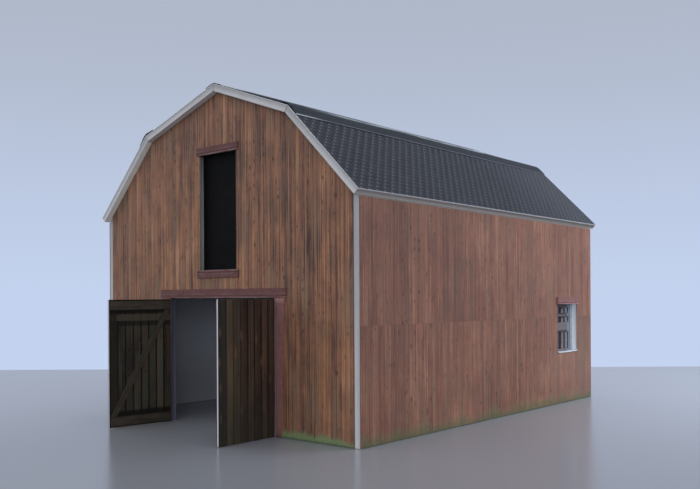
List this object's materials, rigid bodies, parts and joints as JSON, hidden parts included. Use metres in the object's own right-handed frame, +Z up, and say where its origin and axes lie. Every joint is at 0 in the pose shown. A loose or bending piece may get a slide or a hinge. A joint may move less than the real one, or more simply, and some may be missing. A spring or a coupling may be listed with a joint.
{
  "type": "model barn",
  "caption": "Scale model barn of board and printed paper with a gambrel roof, two hinged doors, a hayloft opening and a small side window.",
  "frame": {"origin": "middle of the floor under the bounding box of the barn with both doors open as stored; z = 0 is the table that the walls stand on", "axes": "-Y towards the front with the doorway, +Y along the ridge to the rear, +X to the right as seen from the front, +Z up"},
  "size_m": [0.3122, 0.4488, 0.2815],
  "materials": {
    "white_board": "matt",
    "front_wood_paper": "matt print",
    "side_wood_paper": "matt print",
    "slate_sheet": "satin print",
    "dark_strip": "matt",
    "red_brown_card": "matt print",
    "leaf_outer_paper": "matt print",
    "leaf_inner_paper": "matt print",
    "ledge_card": "matt print",
    "black_card": "matt",
    "window_card": "matt",
    "window_bar_card": "matt",
    "window_film": "satin"
  },
  "bodies": {
    "barn": {"front_wall": "white_board", "rear_wall": "white_board", "left_wall": "white_board", "right_wall": "white_board", "front_paper": "front_wood_paper", "rear_paper": "front_wood_paper", "left_paper": "side_wood_paper", "right_paper": "side_wood_paper", "roof_board_lower_left": "white_board", "roof_board_upper_left": "white_board", "roof_board_upper_right": "white_board", "roof_board_lower_right": "white_board", "slate_sheet_lower_left": "slate_sheet", "slate_sheet_upper_left": "slate_sheet", "slate_sheet_upper_right": "slate_sheet", "slate_sheet_lower_right": "slate_sheet", "break_strip_left": "dark_strip", "ridge_strip": "dark_strip", "break_strip_right": "dark_strip", "door_post_left": "red_brown_card", "door_post_right": "red_brown_card", "door_lintel": "red_brown_card", "loft_lintel": "red_brown_card", "loft_sill": "red_brown_card", "loft_backing": "black_card", "window_card": "window_card", "window_bars": "window_bar_card", "window_film": "window_film", "window_lintel": "red_brown_card", "window_sill": "window_card"},
    "left_door": {"left_leaf_outer_paper": "leaf_outer_paper", "left_leaf_board": "white_board", "left_leaf_inner_paper": "leaf_inner_paper", "left_leaf_bottom_ledge": "ledge_card", "left_leaf_top_ledge": "ledge_card", "left_leaf_brace": "ledge_card"},
    "right_door": {"right_leaf_outer_paper": "leaf_outer_paper", "right_leaf_board": "white_board", "right_leaf_inner_paper": "leaf_inner_paper", "right_leaf_bottom_ledge": "ledge_card", "right_leaf_top_ledge": "ledge_card", "right_leaf_brace": "ledge_card"}
  },
  "joints": [
    {"name": "left_door_hinge", "type": "hinge", "parent": "barn", "child": "left_door", "pos_m": [-0.06, -0.16789, 0.053], "axis": [0, 0, 1], "range_deg": [-77, 98]},
    {"name": "right_door_hinge", "type": "hinge", "parent": "barn", "child": "right_door", "pos_m": [0.069, -0.16789, 0.053], "axis": [0, 0, 1], "range_deg": [-91, 84]}
  ]
}
